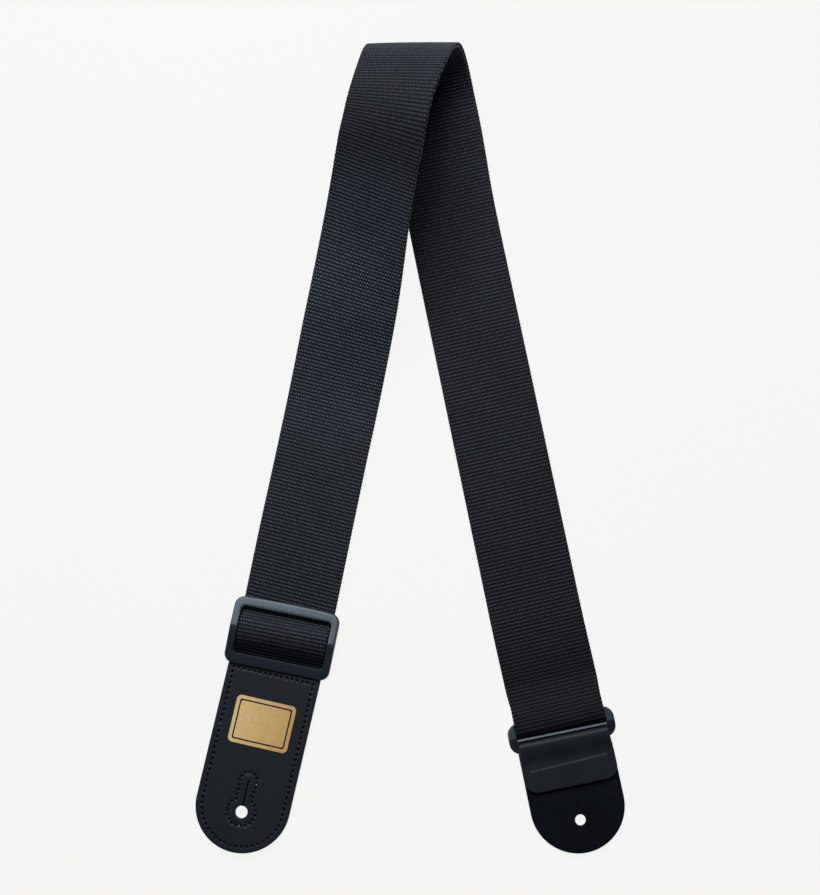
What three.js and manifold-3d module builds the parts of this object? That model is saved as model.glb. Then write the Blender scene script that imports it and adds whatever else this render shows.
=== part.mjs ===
// Adjustable guitar strap at its shortest length, folded in half and laid flat.
// One 50 mm webbing runs from the slider over the fold, round the end ring, back over
// the fold and down to the first leather tab. The second leather tab hangs on the ring.
// Millimetres, +Z up from the surface the strap lies on, +Y toward the fold.
import * as THREE from 'three';
import { mergeVertices } from 'three/addons/utils/BufferGeometryUtils.js';
import Module from 'manifold-3d';

const wasm = await Module();
wasm.setup();

// Webbing
const WEB_WIDTH = 50;
const WEB_THICK = 1.2;
const GAP = 0.25; // clearance between neighbouring layers
const SEAM = 0.3; // gap where one node of the webbing follows another
const LAYER = WEB_THICK + GAP;

// The way the folded strap lies: two straight legs and a standing loop between them.
const LEG_ANGLE = THREE.MathUtils.degToRad(11.4);
const FOLD_START = { x: 13.9, y: 190 };
const NOSE_RADIUS = 24;
const NOSE_ANGLE = THREE.MathUtils.degToRad(115);
const TOP_RADIUS = 45;
const DESCENT_ANGLE = THREE.MathUtils.degToRad(26);
const LANDING_RADIUS = 110;
const REST_HEIGHT = WEB_THICK + GAP / 2; // middle of the two layers
const ROLL_ANGLE = THREE.MathUtils.degToRad(26.4);
const ROLL_IN = 40;
const ROLL_IN_LENGTH = 75;
const ROLL_OUT_LENGTH = 136;
const DRIFT = 2.2; // how far the descent bows to the left of its straight line
const DRIFT_IN = 68;
const DRIFT_IN_LENGTH = 38;
const DRIFT_OUT = 216;
const DRIFT_OUT_LENGTH = 110;

// Slider and end ring
const SLIDER_AT = 396.2; // along the strap from the start of the fold
const SLIDER = { width: 57.2, height: 36.5, openingWidth: 50.8, openingHeight: 24.9 };
const SLIDER_UNDERSIDE = 4.65;
const SLIDER_RIDGE = 9.7;
const SLIDER_BAR = { depth: 5, height: 1.8, middle: 5.25 };
const PASS_LOW = 3.55; // middle of the webbing that climbs over the slider's bar
const PASS_HIGH = 8.45;
const RING_AT = -351.1;
const RING = { width: 57.6, height: 16.3, slotWidth: 50.8, side: 6 };
const RING_BAR_HEIGHT = 3;
const WEB_BAR = { y: 3.2, radius: 1.5 };
const MIDDLE_BAR = { y: -0.95, radius: 0.9 };
const TAB_BAR = { y: -5.2, radius: 1.35 };
const TURN_TAIL = 46; // webbing that stays with the ring as the strap gets longer

// Leather tabs
const TAB_WIDTH = 50;
const TAB_A = {
  top: -17.3, hole: -93.4, slit: 16.3, end: -114.7, turn: THREE.MathUtils.degToRad(1.4),
};
const TAB_A_FACE = 4.2;
const TAB_A_LEATHER = 1.25;
const TAB_A_BACKING = 1.15;
const EMBLEM = { width: 32, height: 25, radius: 3, thick: 0.3, y: -46.5 };
const TAB_B = { hole: -47.5, slit: 13, end: -64.7, flapEnd: -29.7, backingTop: -11 };
const TAB_B_LEATHER = 1.4;
const TAB_B_BACKING = 1.25;
const TAB_B_BACKING_BOTTOM = TAB_B_LEATHER + GAP;
const TAB_B_BACKING_TOP = TAB_B_BACKING_BOTTOM + TAB_B_BACKING;
const FLAP_MIDDLE = 3.9;
const FLAP_CORNER = 7;
const WRAP_RADIUS = 1.6; // inside of the leather round the ring's last bar
const HOLE_DIAMETER = 6.7;
const SLIT_WIDTH = 0.9;
const SLIT_END_RADIUS = 0.9;
const STITCH_INSET = 3.3;
const THREAD_WIDTH = 0.7;
const THREAD_HEIGHT = 0.45;

// The side view of the standing loop: arcs and straight pieces, met tangentially.
function profilePieces() {
  const noseLength = NOSE_RADIUS * NOSE_ANGLE;
  const topLength = TOP_RADIUS * (Math.PI + DESCENT_ANGLE - NOSE_ANGLE);
  const rise = NOSE_RADIUS * (1 - Math.cos(NOSE_ANGLE))
    + TOP_RADIUS * (Math.cos(NOSE_ANGLE) + Math.cos(DESCENT_ANGLE));
  const landingDrop = LANDING_RADIUS * (1 - Math.cos(DESCENT_ANGLE));
  const slopeLength = (rise - landingDrop) / Math.sin(DESCENT_ANGLE);
  return [
    { length: noseLength, curvature: 1 / NOSE_RADIUS },
    { length: topLength, curvature: 1 / TOP_RADIUS },
    { length: slopeLength, curvature: 0 },
    { length: LANDING_RADIUS * DESCENT_ANGLE, curvature: -1 / LANDING_RADIUS },
  ];
}

const PIECES = profilePieces();
const LOOP_LENGTH = PIECES.reduce((sum, piece) => sum + piece.length, 0) / Math.cos(LEG_ANGLE);
const TOP_AT = (PIECES[0].length + TOP_RADIUS * (Math.PI - NOSE_ANGLE)) / Math.cos(LEG_ANGLE);
// The strap crosses the fold at an angle, so its legs are flat across their whole width
// only this far from the loop's ends.
const FLAT_MARGIN = (WEB_WIDTH / 2) * Math.tan(LEG_ANGLE);
const BACK_END = -FLAT_MARGIN;
const FRONT_START = LOOP_LENGTH + FLAT_MARGIN;

// Position and heading of the side view, a distance t past the start of the loop.
function profileAt(t) {
  let y = FOLD_START.y + Math.min(t, 0);
  let z = REST_HEIGHT;
  let heading = 0;
  let left = Math.max(t, 0);
  for (const piece of [...PIECES, { length: Infinity, curvature: 0 }]) {
    const step = Math.min(left, piece.length);
    const next = heading + piece.curvature * step;
    if (piece.curvature === 0) {
      y += Math.cos(heading) * step;
      z += Math.sin(heading) * step;
    } else {
      y += (Math.sin(next) - Math.sin(heading)) / piece.curvature;
      z -= (Math.cos(next) - Math.cos(heading)) / piece.curvature;
    }
    heading = next;
    left -= step;
    if (left <= 0) break;
  }
  return { y, z, heading };
}

function smooth(x) {
  const c = THREE.MathUtils.clamp(x, 0, 1);
  return c * c * (3 - 2 * c);
}

// A point of the strap: s along it from the start of the fold, u across it to the right,
// and out of the middle of its two layers. Negative s is the back leg. The fold wraps the
// strap round the side view at the leg's angle, and its descent rolls to lift one edge.
function strapPoint(s, u, out) {
  const t = s * Math.cos(LEG_ANGLE);
  const drift = DRIFT * smooth((s - DRIFT_IN) / DRIFT_IN_LENGTH)
    * smooth((DRIFT_OUT - s) / DRIFT_OUT_LENGTH);
  const x = FOLD_START.x - s * Math.sin(LEG_ANGLE) - drift;
  const middle = profileAt(t);
  const here = profileAt(t + u * Math.sin(LEG_ANGLE));
  const centre = new THREE.Vector3(x, middle.y, middle.z);
  const point = new THREE.Vector3(
    x + u * Math.cos(LEG_ANGLE),
    here.y + out * Math.sin(here.heading),
    here.z - out * Math.cos(here.heading),
  );
  const rollIn = smooth((s - ROLL_IN) / ROLL_IN_LENGTH);
  const rollOut = smooth((LOOP_LENGTH - s) / ROLL_OUT_LENGTH);
  const travel = new THREE.Vector3(
    -Math.sin(LEG_ANGLE),
    Math.cos(LEG_ANGLE) * Math.cos(middle.heading),
    Math.cos(LEG_ANGLE) * Math.sin(middle.heading),
  );
  return point.sub(centre).applyAxisAngle(travel, ROLL_ANGLE * rollIn * rollOut).add(centre);
}

// The corners of a rectangular section, round its edge.
function corners(centre, across, normal, width, thick) {
  return [[-1, -1], [1, -1], [1, 1], [-1, 1]].map(([a, b]) => centre.clone()
    .addScaledVector(across, (a * width) / 2)
    .addScaledVector(normal, (b * thick) / 2));
}

// A closed strip swept through sections of four corners each.
function strip(sections, closed = false) {
  const index = [];
  const count = sections.length;
  const spans = closed ? count : count - 1;
  for (let i = 0; i < spans; i += 1) {
    for (let k = 0; k < 4; k += 1) {
      const a = i * 4 + k;
      const b = i * 4 + ((k + 1) % 4);
      const c = ((i + 1) % count) * 4 + k;
      const d = ((i + 1) % count) * 4 + ((k + 1) % 4);
      // Every side splits the same way across the strip, so a twisted strip keeps its
      // thickness.
      if (k < 2) index.push(a, b, d, a, d, c);
      else index.push(a, b, c, b, d, c);
    }
  }
  if (!closed) {
    const e = (count - 1) * 4;
    index.push(0, 2, 1, 0, 3, 2, e, e + 1, e + 2, e, e + 2, e + 3);
  }
  const positions = sections.flat().flatMap((corner) => corner.toArray());
  const geometry = new THREE.BufferGeometry();
  geometry.setAttribute('position', new THREE.Float32BufferAttribute(positions, 3));
  geometry.setIndex(index);
  return facingOut(geometry);
}

// Turns the faces round if the closed shape's volume comes out negative.
function facingOut(geometry) {
  const p = geometry.attributes.position;
  const index = geometry.index.array;
  const [a, b, c] = [new THREE.Vector3(), new THREE.Vector3(), new THREE.Vector3()];
  let volume = 0;
  for (let i = 0; i < index.length; i += 3) {
    a.fromBufferAttribute(p, index[i]);
    b.fromBufferAttribute(p, index[i + 1]);
    c.fromBufferAttribute(p, index[i + 2]);
    volume += a.dot(b.cross(c));
  }
  if (volume < 0) {
    for (let i = 0; i < index.length; i += 3) {
      [index[i + 1], index[i + 2]] = [index[i + 2], index[i + 1]];
    }
  }
  geometry.computeVertexNormals();
  return geometry;
}

// One layer of webbing between two places along the strap. side is 1 for the outer
// strand and -1 for the inner one.
function webbing(from, to, side, step) {
  const count = Math.max(1, Math.ceil((to - from) / step));
  const half = WEB_WIDTH / 2;
  const bottom = (side * LAYER - WEB_THICK) / 2;
  const top = bottom + WEB_THICK;
  const sections = [];
  for (let i = 0; i <= count; i += 1) {
    const s = from + ((to - from) * i) / count;
    sections.push([[-half, bottom], [half, bottom], [half, top], [-half, top]]
      .map(([u, out]) => strapPoint(s, u, out)));
  }
  return strip(sections);
}

// A strip that follows a side view, in the local frame of a buckle: x across, y toward
// the fold, z up.
function foldedStrip(line, width, thick) {
  return strip(line.map(([y, z], i) => {
    const before = line[Math.max(0, i - 1)];
    const after = line[Math.min(line.length - 1, i + 1)];
    const along = new THREE.Vector3(0, after[0] - before[0], after[1] - before[1]).normalize();
    const across = new THREE.Vector3(1, 0, 0);
    const normal = across.clone().cross(along);
    return corners(new THREE.Vector3(0, y, z), across, normal, width, thick);
  }));
}

// Points on a half circle in the side view, from straight up round the -y side to
// straight down.
function halfTurn(y, z, radius, steps) {
  const points = [];
  for (let i = 0; i <= steps; i += 1) {
    const angle = Math.PI / 2 + (Math.PI * i) / steps;
    points.push([y + radius * Math.cos(angle), z + radius * Math.sin(angle)]);
  }
  return points;
}

// A smooth change of height between two points of a side view.
function ease(y0, z0, y1, z1, steps) {
  const points = [];
  for (let i = 0; i <= steps; i += 1) {
    const t = i / steps;
    points.push([y0 + (y1 - y0) * t, z0 + (z1 - z0) * smooth(t)]);
  }
  return points;
}

function extrude(shape, bottom, height, curveSegments = 10) {
  const geometry = new THREE.ExtrudeGeometry(shape, {
    depth: height, bevelEnabled: false, curveSegments,
  });
  geometry.translate(0, 0, bottom);
  return geometry;
}

function polygon(points) {
  return new THREE.Shape(points.map(([x, y]) => new THREE.Vector2(x, y)));
}

// A solid with a side view in y and z, extruded evenly across x.
function extrudeAcross(points, width) {
  const geometry = new THREE.ExtrudeGeometry(polygon(points), {
    depth: width, bevelEnabled: false,
  });
  geometry.applyMatrix4(new THREE.Matrix4().makeBasis(
    new THREE.Vector3(0, 1, 0), new THREE.Vector3(0, 0, 1), new THREE.Vector3(1, 0, 0),
  ));
  geometry.translate(-width / 2, 0, 0);
  return geometry;
}

function toManifold(geometry) {
  const bare = new THREE.BufferGeometry();
  bare.setAttribute('position', geometry.attributes.position);
  if (geometry.index) bare.setIndex(geometry.index);
  const merged = mergeVertices(bare, 1e-4);
  return new wasm.Manifold(new wasm.Mesh({
    numProp: 3,
    vertProperties: new Float32Array(merged.attributes.position.array),
    triVerts: new Uint32Array(merged.index.array),
  }));
}

function fromManifold(solid) {
  const mesh = solid.getMesh();
  const geometry = new THREE.BufferGeometry();
  geometry.setAttribute('position', new THREE.Float32BufferAttribute(mesh.vertProperties, 3));
  geometry.setIndex(Array.from(mesh.triVerts));
  geometry.computeVertexNormals();
  return geometry;
}

function roundedRectangle(width, height, radius, bulge = 0) {
  const x = width / 2;
  const y = height / 2;
  const shape = new THREE.Shape();
  shape.moveTo(-x + radius, -y);
  shape.lineTo(x - radius, -y);
  shape.absarc(x - radius, -y + radius, radius, -Math.PI / 2, 0);
  shape.lineTo(x, y - bulge - radius);
  shape.absarc(x - radius, y - bulge - radius, radius, 0, Math.PI / 2);
  shape.quadraticCurveTo(0, y + bulge, -x + radius, y - bulge);
  shape.absarc(-x + radius, y - bulge - radius, radius, Math.PI / 2, Math.PI);
  shape.lineTo(-x, -y + radius);
  shape.absarc(-x + radius, -y + radius, radius, Math.PI, Math.PI * 1.5);
  return shape;
}

// A tab with a round end toward -y.
function tabShape(top, end, width) {
  const x = width / 2;
  const shape = new THREE.Shape();
  shape.moveTo(x, top);
  shape.lineTo(-x, top);
  shape.lineTo(-x, end + x);
  shape.absarc(0, end + x, x, Math.PI, Math.PI * 2);
  shape.closePath();
  return shape;
}

// The outline of the button hole with the slit above it, grown by a margin.
function keyholePoints(tab, margin, arcSteps) {
  const holeY = tab.hole;
  const big = HOLE_DIAMETER / 2 + margin;
  const half = SLIT_WIDTH / 2 + margin;
  const small = Math.max(SLIT_END_RADIUS + margin * 0.9, half + 0.01);
  const points = [];
  const bigStart = Math.asin(half / big);
  for (let i = 0; i <= arcSteps; i += 1) {
    const angle = Math.PI / 2 + bigStart + ((2 * Math.PI - 2 * bigStart) * i) / arcSteps;
    points.push([big * Math.cos(angle), holeY + big * Math.sin(angle)]);
  }
  const smallStart = Math.asin(half / small);
  const slitEnd = holeY + tab.slit;
  for (let i = 0; i <= arcSteps / 2; i += 1) {
    const angle = -Math.PI / 2 + smallStart + ((2 * Math.PI - 2 * smallStart) * i) / (arcSteps / 2);
    points.push([small * Math.cos(angle), slitEnd + small * Math.sin(angle)]);
  }
  return points;
}

function keyhole(tab) {
  return new THREE.Path(keyholePoints(tab, 0, 28).map(([x, y]) => new THREE.Vector2(x, y)));
}

// A thread laid flat along a line of points in the plane.
function thread(points, height, closed = false) {
  const count = points.length;
  return strip(points.map(([x, y], i) => {
    const before = points[closed ? (i + count - 1) % count : Math.max(0, i - 1)];
    const after = points[closed ? (i + 1) % count : Math.min(count - 1, i + 1)];
    const along = new THREE.Vector3(after[0] - before[0], after[1] - before[1], 0).normalize();
    const normal = new THREE.Vector3(0, 0, 1);
    const centre = new THREE.Vector3(x, y, height + THREAD_HEIGHT / 2);
    return corners(centre, normal.clone().cross(along), normal, THREAD_WIDTH, THREAD_HEIGHT);
  }), closed);
}

// The stitch line along the sides and the round end of a tab.
function edgeLine(top, end, width) {
  const radius = width / 2 - STITCH_INSET;
  const points = [[-radius, top]];
  for (let i = 0; i <= 24; i += 1) {
    const angle = Math.PI + (Math.PI * i) / 24;
    points.push([radius * Math.cos(angle), end + width / 2 + radius * Math.sin(angle)]);
  }
  points.push([radius, top]);
  return points;
}

function zigzag(y0, y1, halfWidth, teeth) {
  const points = [];
  for (let i = 0; i <= teeth; i += 1) {
    points.push([-halfWidth + (2 * halfWidth * i) / teeth, i % 2 ? y1 : y0]);
  }
  return points;
}

// Puts local geometry at a place on a straight leg. leg is 1 for the back leg and -1 for
// the front one. turn is a small extra turn about the vertical.
function placeOnLeg(geometry, s, leg, turn = 0) {
  const centre = strapPoint(s, 0, 0);
  geometry.rotateZ(leg * LEG_ANGLE - turn);
  geometry.translate(centre.x, centre.y, 0);
  return geometry;
}

function sliderFrame() {
  const half = SLIDER.height / 2;
  const side = [
    [half, SLIDER_UNDERSIDE], [half, 6.2], [half - 1, 7.3],
    [0.6, SLIDER_RIDGE], [-0.6, SLIDER_RIDGE],
    [-half + 1, 7.1], [-half, 6], [-half, SLIDER_UNDERSIDE], [-half + 6.4, SLIDER_UNDERSIDE],
    [-half + 9, 2], [half - 9, 2], [half - 6.4, SLIDER_UNDERSIDE],
  ];
  const outline = roundedRectangle(SLIDER.width, SLIDER.height, 5, 0.9);
  const opening = roundedRectangle(SLIDER.openingWidth, SLIDER.openingHeight, 2);
  const bar = new THREE.BoxGeometry(SLIDER.openingWidth + 1, SLIDER_BAR.depth, SLIDER_BAR.height);
  bar.translate(0, 0, SLIDER_BAR.middle);
  return fromManifold(
    toManifold(extrudeAcross(side, SLIDER.width + 2))
      .intersect(toManifold(extrude(outline, 0, 20, 8)))
      .subtract(toManifold(extrude(opening, -1, 20, 4)))
      .add(toManifold(bar)),
  );
}

// The outer strand where it climbs over the slider's middle bar, under both end bars.
function sliderPass() {
  return foldedStrip([
    [16.5, PASS_LOW],
    ...ease(13, PASS_LOW, 3.6, PASS_HIGH, 6),
    [0, PASS_HIGH + 0.25],
    ...ease(-3.6, PASS_HIGH, -13, PASS_LOW, 6),
    [-16.5, PASS_LOW],
  ], WEB_WIDTH, WEB_THICK);
}

// The end of the inner strand, looped round the middle bar and sewn to itself.
function sewnLoop() {
  const { middle } = SLIDER_BAR;
  const radius = SLIDER_BAR.height / 2 + GAP + WEB_THICK / 2;
  return foldedStrip([
    [4.2, middle + radius],
    ...halfTurn(-2.6, middle, radius, 8),
    [7, middle - radius],
  ], WEB_WIDTH - 1, WEB_THICK);
}

function endRing() {
  const half = RING.height / 2;
  const side = [
    [half, 2], [half, 3.4], [0.5, 5.4], [-0.5, 5.4], [-half, 3.4], [-half, 2],
    [-half + 1.5, 1.3], [half - 1.5, 1.3],
  ];
  const outline = roundedRectangle(RING.width, RING.height, RING.side);
  const slot = roundedRectangle(RING.slotWidth, RING.height + 4, 0.5);
  const ends = toManifold(extrudeAcross(side, RING.width + 2))
    .intersect(toManifold(extrude(outline, 0, 12, 10)))
    .subtract(toManifold(extrude(slot, -1, 20, 2)));
  return fromManifold([WEB_BAR, MIDDLE_BAR, TAB_BAR].reduce((solid, { y, radius }) => {
    const bar = new THREE.CylinderGeometry(radius, radius, RING.slotWidth + 2, 16);
    bar.rotateZ(Math.PI / 2);
    bar.translate(0, y, RING_BAR_HEIGHT);
    return solid.add(toManifold(bar));
  }, ends));
}

// The webbing round the ring's first bar, with a short piece of both strands.
function ringTurn() {
  const radius = WEB_BAR.radius + SEAM + WEB_THICK / 2;
  const lower = WEB_THICK / 2;
  const upper = lower + LAYER;
  const top = RING_BAR_HEIGHT + radius;
  return foldedStrip([
    [TURN_TAIL, upper],
    ...ease(WEB_BAR.y + 24, upper, WEB_BAR.y + 3, top, 6),
    ...halfTurn(WEB_BAR.y, RING_BAR_HEIGHT, radius, 10),
    [TURN_TAIL, lower],
  ], WEB_WIDTH, WEB_THICK);
}

// Tab B's face leather, which lies face down. It goes round the ring's last bar and comes
// back over the backing as a flap.
function tabBLeather() {
  const barY = TAB_BAR.y;
  const radius = WRAP_RADIUS + TAB_B_LEATHER / 2;
  const turn = halfTurn(barY, RING_BAR_HEIGHT, radius, 10).map(([y, z]) => [2 * barY - y, z]);
  const sheet = foldedStrip([
    [TAB_B.flapEnd, FLAP_MIDDLE],
    ...ease(-16, FLAP_MIDDLE, barY - 1.5, RING_BAR_HEIGHT + radius, 6),
    ...turn,
    ...ease(barY - 1.5, RING_BAR_HEIGHT - radius, -13, TAB_B_LEATHER / 2, 3),
    [TAB_B.end - 1, TAB_B_LEATHER / 2],
  ], TAB_WIDTH, TAB_B_LEATHER);
  const outline = tabShape(4, TAB_B.end, TAB_WIDTH);
  outline.holes.push(keyhole(TAB_B));
  const flapCorners = toManifold(extrude(polygon([
    [-30, -22], [-30, -40], [30, -40], [30, -22],
  ]), 3.05, 4)).subtract(toManifold(extrude(flapEndShape(), 2, 8, 6)));
  return fromManifold(
    toManifold(sheet).intersect(toManifold(extrude(outline, -1, 12, 16))).subtract(flapCorners),
  );
}

function flapEndShape() {
  const x = TAB_WIDTH / 2 + 1;
  const centre = TAB_B.flapEnd + FLAP_CORNER;
  const shape = new THREE.Shape();
  shape.moveTo(x, -10);
  shape.lineTo(-x, -10);
  shape.lineTo(-x, centre);
  shape.absarc(-x + FLAP_CORNER, centre, FLAP_CORNER, Math.PI, Math.PI * 1.5);
  shape.absarc(x - FLAP_CORNER, centre, FLAP_CORNER, Math.PI * 1.5, Math.PI * 2);
  shape.closePath();
  return shape;
}

function tabLayer(tab, top, bottom, thick) {
  const shape = tabShape(top, tab.end, TAB_WIDTH);
  shape.holes.push(keyhole(tab));
  return extrude(shape, bottom, thick, 16);
}

const group = new THREE.Group();
group.name = 'guitar_strap';

function addMesh(name, geometry, color, roughness) {
  const mesh = new THREE.Mesh(geometry, new THREE.MeshStandardMaterial({ color, roughness }));
  mesh.name = name;
  group.add(mesh);
}

const WEB = ['#1d1f23', 0.75];
const LEATHER = ['#22262b', 0.6];
const SUEDE = ['#15171b', 0.95];
const THREAD = ['#121316', 0.8];
const PLASTIC = ['#1b1d21', 0.4];
const FOIL = ['#b8925a', 0.35];

const turnStart = RING_AT + TURN_TAIL;
addMesh('webbing_back_outer', webbing(turnStart + SEAM, BACK_END, 1, 400), ...WEB);
addMesh('webbing_back_inner', webbing(turnStart + SEAM, BACK_END, -1, 400), ...WEB);
addMesh('webbing_nose_outer', webbing(BACK_END + SEAM, TOP_AT, 1, 5.5), ...WEB);
addMesh('webbing_nose_inner', webbing(BACK_END + SEAM, TOP_AT, -1, 5.5), ...WEB);
addMesh('webbing_descent_outer', webbing(TOP_AT + SEAM, FRONT_START, 1, 7), ...WEB);
addMesh('webbing_descent_inner', webbing(TOP_AT + SEAM, FRONT_START, -1, 7), ...WEB);
addMesh('webbing_front_outer', webbing(FRONT_START + SEAM, SLIDER_AT + 28, 1, 400), ...WEB);
addMesh('webbing_front_inner', webbing(FRONT_START + SEAM, SLIDER_AT + 16, -1, 400), ...WEB);
addMesh('webbing_ring_turn', placeOnLeg(ringTurn(), RING_AT, 1), ...WEB);

function addOnSlider(name, geometry, look) {
  addMesh(name, placeOnLeg(geometry, SLIDER_AT, -1), ...look);
}
addOnSlider('slider_frame', sliderFrame(), PLASTIC);
addOnSlider('webbing_slider_pass', sliderPass(), WEB);
addOnSlider('webbing_sewn_loop', sewnLoop(), WEB);
const sewnThread = new THREE.BoxGeometry(44, 0.6, 1.8).translate(0, 3.4, 5.25);
addOnSlider('sewn_loop_thread', sewnThread, THREAD);

function addOnTabA(name, geometry, look) {
  addMesh(name, placeOnLeg(geometry, SLIDER_AT, -1, TAB_A.turn), ...look);
}
const topSeam = TAB_A.top - 2.3;
addOnTabA('tab_a_backing', tabLayer(TAB_A, TAB_A.top, 0, TAB_A_BACKING), SUEDE);
addOnTabA('tab_a_front_leather',
  tabLayer(TAB_A, TAB_A.top, TAB_A_FACE - TAB_A_LEATHER, TAB_A_LEATHER), LEATHER);
addOnTabA('tab_a_perimeter_thread',
  thread(edgeLine(TAB_A.top - 4.5, TAB_A.end, TAB_WIDTH), TAB_A_FACE + GAP), THREAD);
addOnTabA('tab_a_keyhole_thread',
  thread(keyholePoints(TAB_A, 4.1, 28), TAB_A_FACE + GAP, true), THREAD);
addOnTabA('tab_a_top_thread',
  thread([[-21.8, topSeam], [21.8, topSeam]], TAB_A_FACE + GAP), THREAD);
const emblem = roundedRectangle(EMBLEM.width, EMBLEM.height, EMBLEM.radius);
addOnTabA('tab_a_emblem',
  extrude(emblem, TAB_A_FACE + GAP, EMBLEM.thick, 5).translate(0, EMBLEM.y, 0), FOIL);

addMesh('end_ring', placeOnLeg(endRing(), RING_AT, 1), ...PLASTIC);

function addOnTabB(name, geometry, look) {
  addMesh(name, placeOnLeg(geometry, RING_AT, 1), ...look);
}
addOnTabB('tab_b_front_leather', tabBLeather(), LEATHER);
addOnTabB('tab_b_backing',
  tabLayer(TAB_B, TAB_B.backingTop, TAB_B_BACKING_BOTTOM, TAB_B_BACKING), SUEDE);
addOnTabB('tab_b_perimeter_thread',
  thread(edgeLine(TAB_B.flapEnd - 1.5, TAB_B.end, TAB_WIDTH), TAB_B_BACKING_TOP + GAP), THREAD);
addOnTabB('tab_b_keyhole_thread',
  thread(keyholePoints(TAB_B, 3.2, 28), TAB_B_BACKING_TOP + GAP, true), THREAD);
addOnTabB('tab_b_flap_thread',
  thread(zigzag(-16.9, -18.3, 20.5, 40), FLAP_MIDDLE + TAB_B_LEATHER / 2 + GAP), THREAD);

// The row's origin is the middle of the strap's bounding box, on the surface it lies on.
const box = new THREE.Box3().setFromObject(group);
for (const mesh of group.children) {
  mesh.geometry.translate(-(box.min.x + box.max.x) / 2, -(box.min.y + box.max.y) / 2, -box.min.z);
}

export default group;
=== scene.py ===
"""Blender look of a folded guitar strap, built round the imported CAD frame.

The strap is laid out in strap coordinates: s along it from the start of the fold, u across
it and a height out of it. Lengths here are in millimetres, and turn into metres as each
mesh is made.
"""
import math
import random
from collections import namedtuple

import bpy
import numpy as np
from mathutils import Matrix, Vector, geometry


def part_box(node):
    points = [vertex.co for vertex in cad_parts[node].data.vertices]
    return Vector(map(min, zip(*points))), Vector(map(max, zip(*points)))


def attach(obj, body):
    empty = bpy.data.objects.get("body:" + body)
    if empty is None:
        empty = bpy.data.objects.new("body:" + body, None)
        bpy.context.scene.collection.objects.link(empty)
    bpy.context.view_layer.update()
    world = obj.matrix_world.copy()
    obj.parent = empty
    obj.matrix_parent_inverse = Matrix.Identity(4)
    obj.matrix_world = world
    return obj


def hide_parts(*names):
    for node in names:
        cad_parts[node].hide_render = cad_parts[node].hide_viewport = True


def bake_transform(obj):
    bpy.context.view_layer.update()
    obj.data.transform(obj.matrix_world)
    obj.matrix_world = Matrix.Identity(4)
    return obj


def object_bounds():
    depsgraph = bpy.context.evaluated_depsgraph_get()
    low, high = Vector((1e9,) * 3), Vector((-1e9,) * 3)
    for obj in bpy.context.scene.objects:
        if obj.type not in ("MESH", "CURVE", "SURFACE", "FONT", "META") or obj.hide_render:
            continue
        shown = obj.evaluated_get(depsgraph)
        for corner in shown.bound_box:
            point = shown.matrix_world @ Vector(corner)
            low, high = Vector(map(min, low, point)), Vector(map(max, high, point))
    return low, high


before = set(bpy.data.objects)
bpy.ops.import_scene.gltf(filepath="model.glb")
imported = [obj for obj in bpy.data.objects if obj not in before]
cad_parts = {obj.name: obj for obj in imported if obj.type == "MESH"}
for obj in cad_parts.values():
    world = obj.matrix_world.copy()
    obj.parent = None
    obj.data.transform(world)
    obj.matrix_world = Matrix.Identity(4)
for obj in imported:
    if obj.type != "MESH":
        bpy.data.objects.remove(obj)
cad_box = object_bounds()
random.seed(7)

MM = 0.001

# -------- camera and lights, in metres
CAMERA_DISTANCE = 1.110
CAMERA_TILT = math.radians(9.0)
CAMERA_TARGET = Vector((-0.00014, -0.0013, 0.0))
CAMERA_SCALE = 1850.0  # picture units per metre at the target
PICTURE_WIDTH = 820
SENSOR_WIDTH = 36.0
KEY_PLACE = (-0.13, 0.54, 0.68)
KEY_SIZE, KEY_POWER = 0.75, 10.5
KEY_COLOUR = (0.90, 0.955, 1.0)
SKY_COLOUR, SKY_STRENGTH = (0.95, 0.975, 1.0, 1), 0.16
FLOOR_HALF = 6.0
FLOOR_GAP = 0.0001

# -------- the strap's layout
WEB_WIDTH = 50.0
WEB_NARROW = 0.982  # the woven strip is a little narrower than its nominal width
WEB_THICK = 1.2
LAYER = 1.45  # from the middle of one layer to the next
LEG_ANGLE = math.radians(11.4)
NOSE_RADIUS = 24.0
NOSE_ANGLE = math.radians(115)
TOP_RADIUS = 45.0
DESCENT_ANGLE = math.radians(26)
LANDING_RADIUS = 110.0
REST_HEIGHT = 1.325
ROLL_ANGLE = math.radians(26.4)
ROLL_IN = 40.0
ROLL_IN_LENGTH = 75.0
ROLL_OUT_LENGTH = 136.0
DRIFT = 2.2  # how far the descent bows to the left of its straight line
DRIFT_IN = 68.0
DRIFT_IN_LENGTH = 38.0
DRIFT_OUT = 216.0
DRIFT_OUT_LENGTH = 110.0
SLIDER_AT = 396.2
RING_AT = -351.1
TAB_A_TURN = math.radians(1.4)

ROW_PITCH = 1.97  # one weft row of the weave
BUMP_PITCH = 1.39  # one bump along a row
BUMP_HEIGHT = 0.3
BUMP_SLANT = 0.3
FRONT_SKEW = -math.tan(math.radians(3.3))  # the rows are not quite square to the strap
BACK_SKEW = -math.tan(math.radians(2.2))
BUMP_MIDDLE = 0.65  # the part of a bump's height that lies at the strap's nominal surface
POINTS_PER_BUMP = 2.5
PLAIN_STEPS = 16  # steps across a side of the strap that is hardly seen
EDGE_ROUND = 0.6
EDGE_WAVE = 0.3
PAINTED_LIGHT_BASE = 0.42  # level of the painted light on the yarn tops where no more painted light or shade is added
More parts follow.
